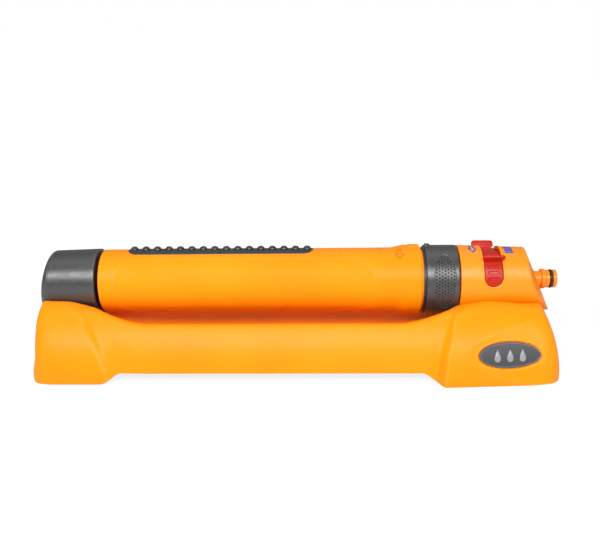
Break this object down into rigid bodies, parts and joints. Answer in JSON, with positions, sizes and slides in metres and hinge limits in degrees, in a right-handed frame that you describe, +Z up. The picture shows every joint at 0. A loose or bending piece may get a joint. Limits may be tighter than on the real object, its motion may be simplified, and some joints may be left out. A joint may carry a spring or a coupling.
{
  "type": "oscillating lawn sprinkler",
  "caption": "Long sprinkler on a yellow sled base: a swinging spray barrel with a row of soft nozzles, a selector ring, red limit sliders and a hose connector on the drive housing.",
  "frame": {"origin": "ground, under the middle of the object", "axes": "+X along the barrel towards the hose connector, +Y to the rear, +Z up"},
  "size_m": [0.4546, 0.146, 0.1031],
  "materials": {
    "yellow": "fine satin grain",
    "grey": "fine satin grain",
    "black": "satin",
    "strip": "soft satin",
    "red": "gloss",
    "seal": "satin",
    "steel": "satin",
    "white": "satin",
    "badge": "satin"
  },
  "bodies": {
    "base": {"base_frame": "yellow", "front_badge": "badge", "end_cap": "grey", "end_bearing": "black", "cap_screws": "steel", "housing_screws": "steel", "drive_housing": "yellow", "slider_track": "red", "hose_connector": "yellow", "connector_o_ring": "seal", "inlet_filter": "white", "inlet_gasket": "seal", "gearbox_case": "black", "gearbox_cover": "black", "shaft_seal": "seal", "bearing_plate": "white", "jet_plate": "white", "main_axle": "steel", "lay_axle": "steel"},
    "barrel": {"spray_barrel": "yellow", "barrel_collar": "yellow", "nozzle_strip_left": "strip", "nozzle_strip_right": "strip", "barrel_end_plug": "yellow", "plug_o_ring": "seal", "output_shaft": "white", "output_gear": "white", "feed_tube": "white", "barrel_divider": "white", "port_plate": "white"},
    "selector": {"selector_ring": "grey", "valve_disc": "white"},
    "front_limit": {"front_slider": "red"},
    "rear_limit": {"rear_slider": "red"},
    "slow_gear": {"lay_gear_slow": "white"},
    "centre_gear": {"middle_gear": "white"},
    "fast_gear": {"lay_gear_fast": "white"},
    "turbine": {"turbine_wheel": "white"},
    "reverser": {"reversing_rod": "white", "trip_lever": "white", "flow_deflector": "white"}
  },
  "joints": [
    {"name": "barrel_swing", "type": "hinge", "parent": "base", "child": "barrel", "pos_m": [0, 0, 0.0715], "axis": [1, 0, 0], "range_deg": [-45, 45]},
    {"name": "selector_turn", "type": "hinge", "parent": "barrel", "child": "selector", "pos_m": [0, 0, 0.0715], "axis": [1, 0, 0], "range_deg": [0, 40]},
    {"name": "front_limit_slide", "type": "hinge", "parent": "base", "child": "front_limit", "pos_m": [0, 0, 0.0715], "axis": [-1, 0, 0], "range_deg": [0, 28]},
    {"name": "rear_limit_slide", "type": "hinge", "parent": "base", "child": "rear_limit", "pos_m": [0, 0, 0.0715], "axis": [1, 0, 0], "range_deg": [-5, 23]},
    {"name": "slow_gear_spin", "type": "hinge", "parent": "base", "child": "slow_gear", "pos_m": [0, 0, 0.05855], "axis": [1, 0, 0], "range_deg": [-109, 109]},
    {"name": "centre_gear_spin", "type": "hinge", "parent": "base", "child": "centre_gear", "pos_m": [0, 0, 0.0715], "axis": [1, 0, 0], "range_deg": [-260, 260]},
    {"name": "fast_gear_spin", "type": "hinge", "parent": "base", "child": "fast_gear", "pos_m": [0, 0, 0.05855], "axis": [1, 0, 0], "range_deg": [-623, 623]},
    {"name": "turbine_spin", "type": "hinge", "parent": "base", "child": "turbine", "pos_m": [0, 0, 0.0715], "axis": [1, 0, 0], "range_deg": [-1494, 1494]},
    {"name": "reverser_flip", "type": "hinge", "parent": "base", "child": "reverser", "pos_m": [0, 0, 0.0885], "axis": [1, 0, 0], "range_deg": [-10, 10]}
  ],
  "couplings": [
    {"joint": "slow_gear_spin", "follows": "barrel_swing", "ratio": -2.4},
    {"joint": "centre_gear_spin", "follows": "barrel_swing", "ratio": 5.76},
    {"joint": "fast_gear_spin", "follows": "barrel_swing", "ratio": -13.824},
    {"joint": "turbine_spin", "follows": "barrel_swing", "ratio": 33.178}
  ]
}
